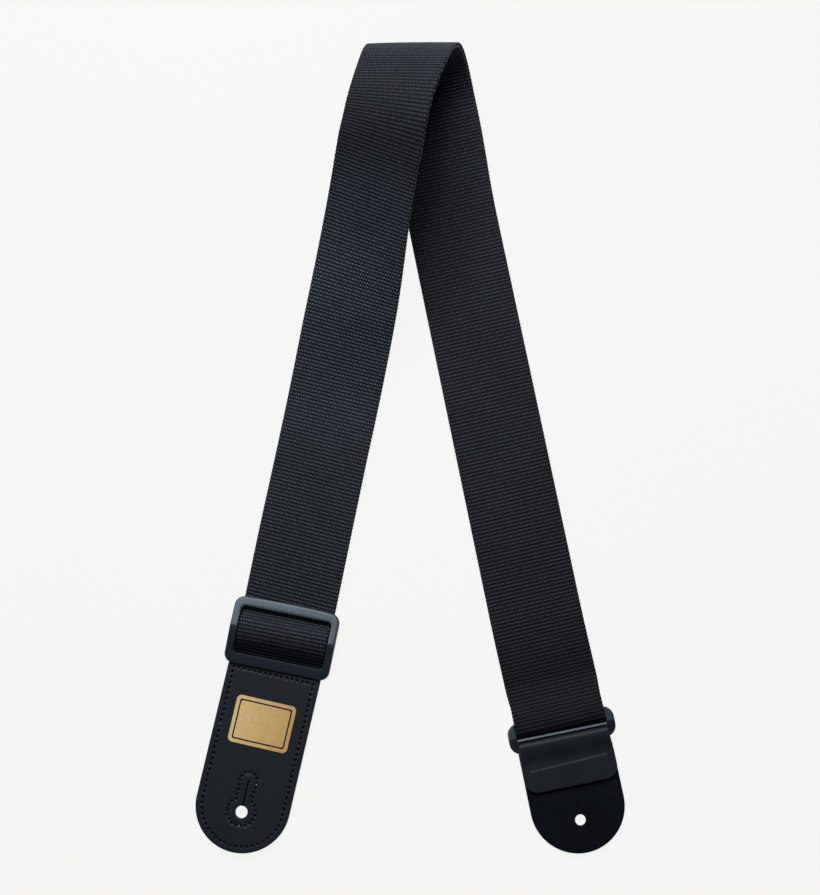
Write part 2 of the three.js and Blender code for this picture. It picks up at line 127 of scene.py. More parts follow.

# -------- slider and ring
SLIDER_SIZE, SLIDER_CORNER = (56.6, 36.5), 5.0
SLIDER_OPENING, SLIDER_OPENING_CORNER = (48.2, 24.9), 2.2
SLIDER_BULGE = 0.9
SLIDER_RIDGE_Y, SLIDER_RIDGE_Z = 0.8, 9.7  # the line that its top slopes away from
SLIDER_SLOPES = (0.165, 0.2)
SLIDER_UNDERSIDE, SLIDER_SIDE_UNDERSIDE, SLIDER_SIDE_END = 4.65, 2.85, 11.5
SLIDER_EDGE, RING_EDGE = 0.9, 0.7  # how softly the moulding is rounded
SLIDER_BAR_DEPTH, SLIDER_BAR_HEIGHT, SLIDER_BAR_Z = 5.0, 1.8, 5.25
PASS_LOW, PASS_HIGH = 3.55, 8.45  # middle of the webbing beside and above the slider's bar
RING_SIZE, RING_CORNER = (57.0, 16.3), 6.0
RING_OPENING, RING_OPENING_CORNER = (48.0, 14.3), 1.5
RING_RIDGE_Z, RING_SLOPES = 5.2, (0.12, 0.3)
RING_UNDERSIDE, RING_UNDERSIDE_SLOPE = 1.4, 0.03
RING_BAR_Z = 3.0
WEB_BAR_Y, WEB_BAR_RADIUS = 3.2, 1.5
MIDDLE_BAR_Y = -0.95
TAB_BAR_Y, TAB_BAR_RADIUS = -5.2, 1.35
TURN_RADIUS = WEB_BAR_RADIUS + 0.3 + WEB_THICK / 2
TURN_END = 14.0  # from the ring's first bar to the end of the webbing below it
# Section of the ring's middle strip, about its middle: a foot under a top that slopes back.
STRIP_SECTION = np.array([
    (-1.3, 2.0), (1.5, 2.0), (1.5, 2.45), (0.65, 3.5), (0.45, 3.85), (-0.55, 4.12),
    (-0.8, 4.0), (-1.3, 2.5),
])
BAR_LENGTH = 50.0
BAR_ROWS = 9
FRAME_POINTS = 96  # round each outline of a frame
SHARP_DEGREES = 32
# How far across a rounded edge each row of points lies, and how far down.
EDGE_ROWS = ((0, 0.95), (0.12, 0.42), (0.42, 0.12), (1.0, 0.0))

# -------- tabs
TAB_WIDTH = 49.7
LEATHER_THICK = 1.4
STITCH_PITCH = 2.9
KEYHOLE_PITCH = 2.45
STITCH_HOLE = 0.75  # radius of the dip round each stitch hole
STITCH_INSET = 3.3
PIT_DEPTH = 0.6
GROOVE_DEPTH, GROOVE_HALF = 0.08, 1.1
STITCH_SUNK = 0.16  # how far the middle of a thread lies below the leather's face
WORN_SHARE = 0.05
OUTLINE_STEP = 0.7
KEYHOLE_STEP = 0.5
GRID_HALF, GRID_STEP = 26, 1.6
Tab = namedtuple("Tab", "top end hole slit")
TAB_A = Tab(top=-17.3, end=-114.7, hole=-93.4, slit=16.3)
TAB_B = Tab(top=-11.0, end=-64.7, hole=-47.5, slit=13.0)
TAB_A_FACE, TAB_A_UNDERSIDE, TAB_A_BACKING = 4.2, 2.9, 1.3
TAB_A_KEYHOLE_STITCHES = 4.1  # from the edge of the button hole
TOP_SEAM = -20.3
TAB_B_KEYHOLE_STITCHES = 3.2
TAB_B_STITCH_Z = 2.74
SUEDE_LOW, SUEDE_HIGH = 1.45, 2.95
FLAP_END, FLAP_CORNER = -29.7, 7.0
FLAP_MIDDLE = 3.85
FLAP_RISE = -15.0  # where the flap starts to climb toward the bar
WRAP_RADIUS = 1.6 + LEATHER_THICK / 2
ZIGZAG_HALF, ZIGZAG_STEPS = 21.0, 43
ZIGZAG_Y, ZIGZAG_SLANT, ZIGZAG_SWING = -17.6, 0.04, 0.85
EMBLEM_Y, EMBLEM_WIDTH, EMBLEM_HEIGHT = -46.5, 32.0, 25.0
EMBLEM_LOW, EMBLEM_RISE, EMBLEM_HIGH = 0.02, 0.1, 0.13  # above the leather's face
EMBLEM_POINTS = 80

# The strap crosses the fold at an angle, so its back leg is flat only up to BACK_END. The
# box of that leg gives the place where the fold starts.
FLAT_MARGIN = WEB_WIDTH / 2 * math.tan(LEG_ANGLE)
BACK_END = -FLAT_MARGIN
back_low, back_high = (np.array(c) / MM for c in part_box("webbing_back_outer"))
FOLD_X = back_low[0] + WEB_WIDTH / 2 * math.cos(LEG_ANGLE) - FLAT_MARGIN * math.sin(LEG_ANGLE)
FOLD_Y = back_high[1]


def profile_pieces():
    """Length and curvature of the pieces of the loop's side view."""
    nose = NOSE_RADIUS * NOSE_ANGLE
    top = TOP_RADIUS * (math.pi + DESCENT_ANGLE - NOSE_ANGLE)
    rise = NOSE_RADIUS * (1 - math.cos(NOSE_ANGLE))
    rise += TOP_RADIUS * (math.cos(NOSE_ANGLE) + math.cos(DESCENT_ANGLE))
    drop = LANDING_RADIUS * (1 - math.cos(DESCENT_ANGLE))
    slope = (rise - drop) / math.sin(DESCENT_ANGLE)
    return [
        (nose, 1 / NOSE_RADIUS),
        (top, 1 / TOP_RADIUS),
        (slope, 0.0),
        (LANDING_RADIUS * DESCENT_ANGLE, -1 / LANDING_RADIUS),
    ]


PIECES = profile_pieces()
LOOP_LENGTH = sum(length for length, _ in PIECES) / math.cos(LEG_ANGLE)
TOP_AT = (PIECES[0][0] + TOP_RADIUS * (math.pi - NOSE_ANGLE)) / math.cos(LEG_ANGLE)


def smooth(x):
    """A step from 0 to 1 with soft ends, for x from 0 to 1."""
    c = np.clip(x, 0, 1)
    return c * c * (3 - 2 * c)


def profile(t):
    """Side view of the strap: y, z and heading at a distance t past the fold's start."""
    y = FOLD_Y + np.minimum(t, 0)
    z = np.full_like(y, REST_HEIGHT)
    heading = np.zeros_like(y)
    left = np.maximum(t, 0)
    for length, curvature in PIECES + [(np.inf, 0.0)]:
        step = np.minimum(left, length)
        turned = heading + curvature * step
        if curvature:
            y = y + (np.sin(turned) - np.sin(heading)) / curvature
            z = z - (np.cos(turned) - np.cos(heading)) / curvature
        else:
            y = y + np.cos(heading) * step
            z = z + np.sin(heading) * step
        heading = turned
        left = left - step
    return y, z, heading


def strap_points(s, u, out):
    """Points of the strap, as part.mjs lays it: s along, u across, out of its middle."""
    s, u, out = np.broadcast_arrays(np.asarray(s, float), u, out)
    sin_a, cos_a = math.sin(LEG_ANGLE), math.cos(LEG_ANGLE)
    t = s * cos_a
    mid_y, mid_z, mid_heading = profile(t)
    y, z, heading = profile(t + u * sin_a)
    drift = DRIFT * smooth((s - DRIFT_IN) / DRIFT_IN_LENGTH)
    drift = drift * smooth((DRIFT_OUT - s) / DRIFT_OUT_LENGTH)
    mid_x = FOLD_X - s * sin_a - drift
    centre = np.stack([mid_x, mid_y, mid_z], -1)
    point = np.stack([
        mid_x + u * cos_a,
        y + out * np.sin(heading),
        z - out * np.cos(heading),
    ], -1)
    travel = np.stack([
        np.full_like(s, -sin_a),
        cos_a * np.cos(mid_heading),
        cos_a * np.sin(mid_heading),
    ], -1)
    roll = ROLL_ANGLE * smooth((s - ROLL_IN) / ROLL_IN_LENGTH)
    roll = (roll * smooth((LOOP_LENGTH - s) / ROLL_OUT_LENGTH))[..., None]
    arm = point - centre
    along = np.sum(travel * arm, -1, keepdims=True) * travel
    turned = arm * np.cos(roll) + np.cross(travel, arm) * np.sin(roll)
    return centre + turned + along * (1 - np.cos(roll))


def leg_placer(s, leg, turn=0.0):
    """A function from buckle coordinates (x across, y toward the fold, z up) to points."""
    x0 = FOLD_X - s * math.sin(LEG_ANGLE)
    y0 = float(profile(np.array([s * math.cos(LEG_ANGLE)]))[0][0])
    angle = leg * LEG_ANGLE - turn
    cos_a, sin_a = math.cos(angle), math.sin(angle)

    def place(x, y, z):
        x, y, z = np.broadcast_arrays(np.asarray(x, float), y, z)
        return np.stack([x0 + x * cos_a - y * sin_a, y0 + x * sin_a + y * cos_a, z], -1)

    return place


on_slider = leg_placer(SLIDER_AT, -1)
on_tab_a = leg_placer(SLIDER_AT, -1, TAB_A_TURN)
on_ring = leg_placer(RING_AT, 1)

# -------- camera, floor and lights
def new_object(name, data):
    """An object of the scene."""
    thing = bpy.data.objects.new(name, data)
    bpy.context.scene.collection.objects.link(thing)
    return thing


def add_camera():
    data = bpy.data.cameras.new("camera")
    data.sensor_fit = "HORIZONTAL"
    data.sensor_width = SENSOR_WIDTH
    data.lens = data.sensor_width * CAMERA_SCALE * CAMERA_DISTANCE / PICTURE_WIDTH
    data.clip_start = 0.05
    camera = new_object("camera", data)
    back = Vector((0, -math.sin(CAMERA_TILT), math.cos(CAMERA_TILT)))
    camera.location = CAMERA_TARGET + back * CAMERA_DISTANCE
    camera.rotation_euler = (CAMERA_TILT, 0, 0)
    bpy.context.scene.camera = camera


def add_softbox(name, place, size, power, colour):
    """A round soft lamp aimed at the middle of the scene."""
    data = bpy.data.lights.new(name, "AREA")
    data.shape = "DISK"
    data.size = size
    data.energy = power
    data.color = colour
    light = new_object(name, data)
    light.location = place
    light.rotation_euler = Vector(place).to_track_quat("Z", "Y").to_euler()


def add_studio():
    world = bpy.data.worlds.new("studio")
    world.use_nodes = True
    background = world.node_tree.nodes["Background"]
    background.inputs["Color"].default_value = SKY_COLOUR
    background.inputs["Strength"].default_value = SKY_STRENGTH
    bpy.context.scene.world = world
    add_softbox("key", KEY_PLACE, KEY_SIZE, KEY_POWER, KEY_COLOUR)
    mesh = bpy.data.meshes.new("floor")
    r = FLOOR_HALF
    mesh.from_pydata([(-r, -r, 0), (r, -r, 0), (r, r, 0), (-r, r, 0)], [], [(0, 1, 2, 3)])
    floor = new_object("floor", mesh)
    floor.location.z = cad_box[0][2] - FLOOR_GAP
    floor.data.materials.append(floor_material())


# -------- material helpers
class Nodes:
    """A short way to write a material's node tree."""

    def __init__(self, name):
        self.material = bpy.data.materials.new(name)
        self.material.use_nodes = True
        self.tree = self.material.node_tree
        self.shader = self.tree.nodes["Principled BSDF"]

    def add(self, kind, values=None, **settings):
        node = self.tree.nodes.new(kind)
        for key, value in settings.items():
            setattr(node, key, value)
        for key, value in (values or {}).items():
            self.put(node.inputs[key], value)
        return node

    def put(self, socket, value):
        if isinstance(value, bpy.types.NodeSocket):
            self.tree.links.new(value, socket)
        else:
            socket.default_value = value

    def set(self, **values):
        for key, value in values.items():
            self.put(self.shader.inputs[key.replace("_", " ")], value)

    def math(self, operation, a, b=0.0):
        node = self.add("ShaderNodeMath", operation=operation)
        self.put(node.inputs[0], a)
        self.put(node.inputs[1], b)
        return node.outputs[0]

    def plus(self, a, b):
        return self.math("ADD", a, b)

    def minus(self, a, b):
        return self.math("SUBTRACT", a, b)

    def times(self, a, b):
        return self.math("MULTIPLY", a, b)

    def spread(self, low, texture, span):
        """A value that a texture raises from low by up to span."""
        return self.plus(low, self.times(texture, span))

    def shaded(self, colour, texture, low, high, start=0.3, end=0.7):
        """A colour darkened and lightened by a texture."""
        return self.mix(1.0, colour, self.ramp(texture, low, high, start, end), "MULTIPLY")

    def ramp(self, factor, low, high, start=0.0, end=1.0):
        node = self.add("ShaderNodeValToRGB", {"Fac": factor})
        node.color_ramp.elements[0].position = start
        node.color_ramp.elements[1].position = end
        node.color_ramp.elements[0].color = (*low, 1)
        node.color_ramp.elements[1].color = (*high, 1)
        return node.outputs["Color"]

    def mix(self, factor, a, b, mode="MIX"):
        node = self.add("ShaderNodeMix", data_type="RGBA", blend_type=mode)
        self.put(node.inputs[0], factor)
        self.put(node.inputs[6], a)
        self.put(node.inputs[7], b)
        return node.outputs[2]

    def noise(self, scale, detail=2.0, roughness=0.5, vector=None):
        values = {
            "Scale": scale, "Detail": detail, "Roughness": roughness,
            "Vector": vector or self.place(),
        }
        return self.add("ShaderNodeTexNoise", values).outputs["Fac"]

    def cells(self, scale):
        values = {"Scale": scale, "Vector": self.place()}
        return self.add("ShaderNodeTexVoronoi", values).outputs["Distance"]

    def place(self):
        """Position at rest, in metres, which stays with the surface as it moves."""
        return self.attribute("rest_place").outputs["Vector"]

    def attribute(self, name):
        return self.add("ShaderNodeAttribute", attribute_name=name)

    def bump(self, height, distance, strength=1.0, under=None):
        values = {"Height": height, "Distance": distance, "Strength": strength}
        if under is not None:
            values["Normal"] = under
        return self.add("ShaderNodeBump", values).outputs["Normal"]


def grey(value):
    return (value, value, value)


# -------- materials
def floor_material():
    """A pale light table, which keeps the shadows faint."""
    n = Nodes("floor")
    n.set(
        Base_Color=(0.035, 0.035, 0.035, 1),
        Roughness=0.9,
        Specular_IOR_Level=0.0,
        Emission_Color=(1.0, 0.995, 0.99, 1),
        Emission_Strength=0.887,
    )
    return n.material


def webbing_material():
    """Black polypropylene: staggered rows of warp tops painted bright as a highlight, over gaps
    painted dark as shade.
    """
    n = Nodes("webbing_look")
    split = n.add("ShaderNodeSeparateXYZ", {"Vector": n.attribute("strap").outputs["Vector"]})
    across, along, nap = (split.outputs[k] for k in "XYZ")
    row_place = n.math("DIVIDE", along, ROW_PITCH)
    row = n.math("FLOOR", row_place)
    v = n.minus(n.math("FRACT", row_place), 0.5)
    stagger = n.times(n.math("FLOORED_MODULO", row, 2.0), 0.5)
    bump_place = n.plus(n.math("DIVIDE", across, BUMP_PITCH), stagger)
    bump_place = n.plus(bump_place, n.times(v, BUMP_SLANT))
    w = n.minus(n.math("FRACT", bump_place), 0.5)
    row_shape = n.math("COSINE", n.times(v, math.pi))
    # The nap shifts each row's painted highlight to one side and its painted gap shade to the
    # other.
    leaning = n.times(v, nap)

    def band(middle):
        angle = n.times(n.minus(leaning, middle), math.pi)
        return n.math("MAXIMUM", n.math("COSINE", angle), 0.0)

    bump_shape = n.math("POWER", n.math("COSINE", n.times(w, math.pi)), 2.0)
    stretch = n.add("ShaderNodeCombineXYZ", {
        "X": n.plus(n.times(across, 11.0), n.times(along, 2.0)),
        "Y": n.times(along, 0.9),
    })
    filament = n.noise(1.0, 2.0, 0.6, stretch.outputs[0])
    yarn = n.noise(1.0, 0.0, 0.5, n.add("ShaderNodeCombineXYZ", {
        "X": n.times(n.math("FLOOR", bump_place), 3.7),
        "Y": n.times(row, 5.3),
    }).outputs[0])
    # Painted shade and highlight: the gaps between rows are painted near black as shade, and
    # the crown of each warp top gets a painted highlight.
    body = n.math("POWER", band(-0.15), 2.6)
    top = n.times(n.math("POWER", band(0.10), 3.0), n.math("POWER", bump_shape, 1.7))
    top = n.times(top, n.spread(0.45, filament, 1.1))
    top = n.times(top, n.spread(0.35, yarn, 1.3))
    colour = n.mix(body, (0.0005, 0.0008, 0.0014, 1), (0.0106, 0.0132, 0.0180, 1))
    colour = n.mix(top, colour, (0.119, 0.138, 0.173, 1))
    colour = n.shaded(colour, n.noise(28.0, 2.0), grey(0.85), grey(1.12))
    # Painted light and shade: an attribute along the strap lightens or darkens the webbing's
    # colour.
    painted_light = n.attribute("painted_light").outputs["Fac"]
    height = n.times(row_shape, n.spread(0.35, bump_shape, 0.65))
    fine = n.bump(filament, 0.00006, 0.6)
    n.set(
        Base_Color=n.shaded(colour, painted_light, grey(0.2), grey(1.1), 0.0, 1.0),
        Roughness=n.spread(0.5, filament, 0.2),
        Specular_IOR_Level=0.11,
        Sheen_Weight=0.03,
        Sheen_Roughness=0.4,
        Sheen_Tint=(0.75, 0.85, 1.0, 1),
        Normal=n.bump(height, 0.00012, 0.5, fine),
    )
    return n.material


def leather_material():
    """Smooth black leather with a fine grain, with its stitch holes painted near black as
    shade.
    """
    n = Nodes("leather_look")
    mottle = n.noise(60.0, 3.0)
    grain = n.cells(2600.0)
    pore = n.noise(3800.0, 2.0)
    # Painted shade: the stitch holes are painted near black and lose their reflection.
    pit = n.attribute("pit").outputs["Fac"]
    colour = n.ramp(mottle, (0.0066, 0.0092, 0.0130), (0.0092, 0.0121, 0.0166), 0.3, 0.7)
    fine = n.bump(grain, 0.00005, 0.25)
    n.set(
        Base_Color=n.mix(pit, colour, (0.0004, 0.0005, 0.0007, 1)),
        Roughness=n.spread(0.42, pore, 0.12),
        Specular_IOR_Level=n.times(n.minus(1.0, pit), 0.2),
        Normal=n.bump(pore, 0.00004, 0.2, fine),
    )
    return n.material


def suede_material():
    """Napped backing with a few specks of pale dust."""
    n = Nodes("suede_look")
    nap = n.noise(2400.0, 3.0, 0.7)
    cloud = n.noise(45.0, 3.0)
    brushed = n.noise(160.0, 3.0)
    colour = n.ramp(nap, (0.0024, 0.0033, 0.0052), (0.0060, 0.0076, 0.0108), 0.25, 0.75)
    colour = n.shaded(colour, cloud, grey(0.75), (1.2, 1.2, 1.25))
    colour = n.shaded(colour, brushed, grey(0.85), grey(1.2))
    speck = n.math("LESS_THAN", n.cells(260.0), 0.06)
    few = n.math("GREATER_THAN", n.noise(95.0, 1.0), 0.60)
    dust = n.times(speck, few)
    n.set(
        Base_Color=n.mix(dust, colour, (0.03, 0.033, 0.04, 1)),
        Roughness=0.95,
        Specular_IOR_Level=0.04,
        Sheen_Weight=0.03,
        Sheen_Roughness=0.6,
        Normal=n.bump(nap, 0.00012, 0.6),
    )
    return n.material


def plastic_material():
    """Satin moulded plastic with a fine spark texture."""
    n = Nodes("plastic_look")
    texture = n.noise(5200.0, 2.0, 0.6)
    cloud = n.noise(55.0, 3.0)
    colour = n.ramp(cloud, (0.0062, 0.0092, 0.0146), (0.0095, 0.0132, 0.0202), 0.3, 0.7)
    n.set(
        Base_Color=colour,
        Roughness=n.spread(0.3, texture, 0.12),
        Specular_IOR_Level=0.55,
        Specular_Tint=(0.82, 0.92, 1.0, 1),
        Normal=n.bump(texture, 0.00003, 0.12),
    )
    return n.material


def foil_material():
    """Satin gold foil, with a painted reflection that makes it paler toward one side."""
    n = Nodes("foil_look")
    split = n.add("ShaderNodeSeparateXYZ", {"Vector": n.attribute("strap").outputs["Vector"]})
    # Painted reflection: the gold runs from pale on the -x side of the panel to deeper on the
    # +x side.
    side = n.plus(n.math("DIVIDE", split.outputs["X"], EMBLEM_WIDTH), 0.5)
    colour = n.ramp(side, (0.76, 0.52, 0.21), (0.58, 0.335, 0.122))
    speckle = n.noise(2600.0, 3.0, 0.7)
    n.set(
        Base_Color=n.shaded(colour, n.noise(500.0, 3.0), grey(0.92), grey(1.06)),
        Metallic=0.3,
        Roughness=n.spread(0.5, speckle, 0.2),
        Normal=n.bump(speckle, 0.00004, 0.5),
    )
    return n.material


def thread_material():
    """Black thread; tone lightens it, up to the bare tan of a worn stitch."""
    n = Nodes("thread_look")
    tone = n.attribute("tone").outputs["Fac"]
    twist = n.noise(3000.0, 2.0)
    colour = n.ramp(tone, (0.0045, 0.0058, 0.008), (0.085, 0.092, 0.108))
    worn = n.math("GREATER_THAN", tone, 0.95)
    n.set(
        Base_Color=n.mix(worn, colour, (0.42, 0.34, 0.24, 1)),
        Roughness=0.6,
        Specular_IOR_Level=0.2,
        Normal=n.bump(twist, 0.00008, 0.6),
    )
    return n.material


# -------- mesh helpers
def add_mesh(name, points, faces, material, attributes=None):
    """A piece from points in millimetres. Its faces are turned to look outward."""
    points = np.asarray(points, float) * MM
    mesh = bpy.data.meshes.new(name)
    triangles = np.array([(f[0], f[i], f[i + 1]) for f in faces for i in range(1, len(f) - 1)])
    a, b, c = (points[triangles[:, i]] for i in range(3))
    if np.sum(a * np.cross(b, c)) < 0:
        faces = [tuple(reversed(f)) for f in faces]
    mesh.from_pydata(points.tolist(), [], faces)
    mesh.polygons.foreach_set("use_smooth", [True] * len(mesh.polygons))
    for key, values in {"rest_place": points, **(attributes or {})}.items():
        values = np.asarray(values, float)
        kind = "FLOAT_VECTOR" if values.ndim == 2 else "FLOAT"
        layer = mesh.attributes.new(key, kind, "POINT")
        layer.data.foreach_set("vector" if values.ndim == 2 else "value", values.ravel())
    mesh.materials.append(material)
    piece = new_object(name, mesh)
    return piece


def sharpen(piece, degrees=SHARP_DEGREES):
    """Hard edges where the faces meet at more than an angle."""
    piece.data.set_sharp_from_angle(angle=math.radians(degrees))


def ring_faces(rows, count, start=0, closed=False):
    """Quads between rings of points that follow each other. closed joins the last of them
    to the first."""
    faces = []
    for i in range(rows if closed else rows - 1):
        a, b = start + i * count, start + (i + 1) % rows * count
        for k in range(count):
            j = (k + 1) % count
            faces.append((a + k, a + j, b + j, b + k))
    return faces


def tube_faces(rows, count, start=0):
    """The same, with a face at each end."""
    last = start + (rows - 1) * count
    first_face = tuple(reversed(range(start, start + count)))
    return ring_faces(rows, count, start) + [first_face, tuple(range(last, last + count))]


def stack(loops):
    """Points of several flat loops, each with its height."""
    return np.concatenate([np.column_stack([loop, np.full(len(loop), z)]) for loop, z in loops])


# -------- webbing
def weave_height(s, u):
    """Height of the weave's bumps, from 0 in the gaps to 1: staggered rows of slanted ovals."""
    row = np.floor(s / ROW_PITCH)
    v = s / ROW_PITCH - row - 0.5
    w = u / BUMP_PITCH + 0.5 * (row % 2) + BUMP_SLANT * v
    w = w - np.floor(w) - 0.5
    across_row = np.clip(np.cos(math.pi * v), 0, 1) ** 0.8
    along_row = 0.3 + 0.7 * np.cos(math.pi * w) ** 2
    return across_row * along_row


def section(steps):
    """u and height of a section's points, round its rim, with the seen side first."""
    flat = WEB_WIDTH / 2 - EDGE_ROUND
    fine = np.linspace(-flat, flat, steps + 1)
    coarse = np.linspace(flat, -flat, PLAIN_STEPS + 1)
    bend = np.radians([60, 25, -25, -60])
    edge = flat + EDGE_ROUND * np.cos(bend)
    u = np.concatenate([fine, edge, coarse, -edge])
    height = np.concatenate([
        np.full(fine.size, 1.0), np.sin(bend), np.full(coarse.size, -1.0), -np.sin(bend),
    ]) * WEB_THICK / 2
    return u, height


def webbing(
    name, place, start, end, material, fine=True, per_row=4, scale=None, shift=None,
    backwards=False, skew=0.0, nap=1, painted_light=lambda s: np.full_like(s, PAINTED_LIGHT_BASE),
):
    """A woven strip. place(s, u, height) gives its points; height is positive on the side
    that has the bumps in full detail. scale and shift change its width and move it
    sideways, by the distance along it. The weave's rows run backwards along a strip that
    must match one laid the other way, skew turns them out of square and nap (1 or -1) is
    the side of each row that its painted highlight and painted gap shade lean to. The last
    argument paints light and shade on the yarn tops along the strip, from 0 for the darkest
    painted shade to 1 for the brightest painted light."""
    fine_steps = round(WEB_WIDTH / BUMP_PITCH * POINTS_PER_BUMP)
    u, height = section(fine_steps if fine else PLAIN_STEPS)
    step = ROW_PITCH / per_row
    first, last = math.ceil(start / step), math.floor(end / step)
    s = np.unique(np.concatenate([[start], np.arange(first, last + 1) * step, [end]]))
    grid_s, grid_u = np.meshgrid(s, u, indexing="ij")
    grid_h = np.broadcast_to(height, grid_s.shape)
    weave_s = (-grid_s if backwards else grid_s) + skew * grid_u
    bumps = weave_height(weave_s, grid_u)
    rim = 1 - np.abs(grid_h) / (WEB_THICK / 2)
    rows = np.abs(np.sin(math.pi * weave_s / ROW_PITCH))
    raised = grid_h + np.sign(grid_h) * (bumps - BUMP_MIDDLE) * BUMP_HEIGHT * (1 - rim)
    spread = WEB_NARROW * grid_u + np.sign(grid_u) * rim * EDGE_WAVE * (rows - 0.6)
    if scale:
        spread = spread * scale(grid_s)
    if shift:
        spread = spread + shift(grid_s)
    points = place(grid_s, spread, raised).reshape(-1, 3)
    strap = np.stack([grid_u, weave_s, np.full_like(grid_s, nap)], -1).reshape(-1, 3)
    attributes = {"strap": strap, "painted_light": np.array(painted_light(grid_s)).reshape(-1)}
    return add_mesh(name, points, tube_faces(s.size, u.size), material, attributes)


def distances(line):
    """How far along a line each of its points lies."""
    steps = np.linalg.norm(np.diff(line, axis=0), axis=1)
    return np.concatenate([[0], np.cumsum(steps)])


def polyline_placer(line, put):
    """place(s, u, height) along a side view given as (y, z) points, s from its start."""
    line = np.array(line)
    along = distances(line)
    tangent = np.gradient(line, along, axis=0)
    tangent /= np.linalg.norm(tangent, axis=1, keepdims=True)

    def place(s, u, height):
        y, z = (np.interp(s, along, line[:, k]) for k in range(2))
        ty, tz = (np.interp(s, along, tangent[:, k]) for k in range(2))
        size = np.hypot(ty, tz)
        return put(u, y + height * tz / size, z - height * ty / size)

    return place, float(along[-1])


def ease_line(y0, z0, y1, z1, steps):
    """A side view that changes height with soft ends."""
    t = np.linspace(0, 1, steps + 1)
    return [(y0 + (y1 - y0) * a, z0 + (z1 - z0) * float(smooth(a))) for a in t]


def half_turn(y, z, radius, steps):
    """From the top of a bar round its -y side to its underside."""
    angles = math.pi / 2 + math.pi * np.linspace(0, 1, steps + 1)
    return [(y + radius * math.cos(a), z + radius * math.sin(a)) for a in angles]


def back_leg_placer():
    """The upper strand down the back leg, round the ring's first bar, to below it."""
    upper = WEB_THICK / 2 + LAYER
    line = [(-RING_AT, upper), (60, upper)]
    line += ease_line(WEB_BAR_Y + 26, upper, WEB_BAR_Y + 1.5, RING_BAR_Z + TURN_RADIUS, 16)
    line += half_turn(WEB_BAR_Y, RING_BAR_Z, TURN_RADIUS, 24)
    line += [(WEB_BAR_Y + 2, WEB_THICK / 2), (WEB_BAR_Y + TURN_END, WEB_THICK / 2)]
    near_ring, length = polyline_placer(line, on_ring)

    def place(s, u, height):
        straight = strap_points(-s, u, -LAYER / 2 - height)
        turned = near_ring(s, u, height)
        return np.where((s < 200)[..., None], straight, turned)

    return place, length


def lean(s):
    """How far the strap lies to the right of its straight legs."""
    back = smooth((-s - 10) / 60) * smooth((s + 345) / 60)
    return 0.25 * smooth((s - 120) / 80) - 0.7 * back


def near_ring_scale(s):
    """The webbing narrows where the ring gathers it."""
    return 1 - 0.022 * smooth((abs(s) + RING_AT + 26) / 12)


def hill(s, middle, width):
    """A soft bump of height 1."""
    return np.exp(-(((s - middle) / width) ** 2))


def front_painted_light(s):
    """Painted light on the crest and the foot of the descent, and painted shade on what lies
    between.
    """
    return PAINTED_LIGHT_BASE + 0.2 * hill(s, 38, 25) - 0.32 * hill(s, 112, 32) + 0.52 * hill(s, 215, 50)


def back_painted_shade(s):
    """Painted shade on the back leg, darker toward the ring."""
    return PAINTED_LIGHT_BASE - 0.22 * smooth(s / 80) - 0.2 * smooth((s - 270) / 60)


def hump_painted_shade(s):
    """Painted light on the webbing up to the slider's bar, and painted shade past it."""
    return 0.54 - 0.54 * smooth((s - 12) / 12)


def outer_shift(s):
    """The outer strand of the doubled strap also peeps out to the right at the fold."""
    return lean(s) + 1.3 * hill(s, -8, 40)


def inner_shift(s):
    """The inner strand wanders a little from under the outer one."""
    return lean(s) + 0.35 * np.sin(s / 31) * smooth((s - TOP_AT) / 60)


def add_webbing(look):
    def outer(s, u, height):
        return strap_points(s, u, LAYER / 2 + height)

    def inner(s, u, height):
        return strap_points(s, u, -LAYER / 2 - height)

    place, length = back_leg_placer()
    upper = webbing(
        "webbing_back_upper", place, -BACK_END, length, look, backwards=True,
        skew=BACK_SKEW, shift=lambda s: lean(-s), scale=near_ring_scale, painted_light=back_painted_shade)
    lower_end = RING_AT + WEB_BAR_Y + TURN_END
    lower = webbing(
        "webbing_back_lower", outer, lower_end, BACK_END, look, fine=False, per_row=2,
        shift=outer_shift, scale=near_ring_scale)
    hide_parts("webbing_back_inner", "webbing_ring_turn")
    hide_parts("webbing_back_outer")
    near, far = (Vector(on_ring(0, y, 0) * MM) for y in (340.0, 46.0))
    for piece in (upper, lower):
        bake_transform(piece)

    nose_outer = webbing(
        "webbing_nose_outer_side", outer, BACK_END, TOP_AT, look, shift=outer_shift,
        skew=FRONT_SKEW, nap=-1, painted_light=front_painted_light)
    nose_inner = webbing(
        "webbing_nose_inner_side", inner, BACK_END, TOP_AT, look, skew=BACK_SKEW)
    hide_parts("webbing_nose_outer")
    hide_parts("webbing_nose_inner")
    for piece in (nose_outer, nose_inner):
        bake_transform(piece)

    front_outer = webbing(
        "webbing_front_upper", outer, TOP_AT, SLIDER_AT + 28, look, shift=outer_shift,
        skew=FRONT_SKEW, nap=-1, painted_light=front_painted_light,
        scale=lambda s: 1 - 0.03 * smooth((s - SLIDER_AT - 15) / 4))
    front_inner = webbing(
        "webbing_front_lower", inner, TOP_AT, SLIDER_AT + 16, look, per_row=2,
        shift=inner_shift)
    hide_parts("webbing_descent_outer", "webbing_front_outer")
    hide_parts("webbing_descent_inner", "webbing_front_inner")
    for piece in (front_outer, front_inner):
        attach(piece, "strap_front")


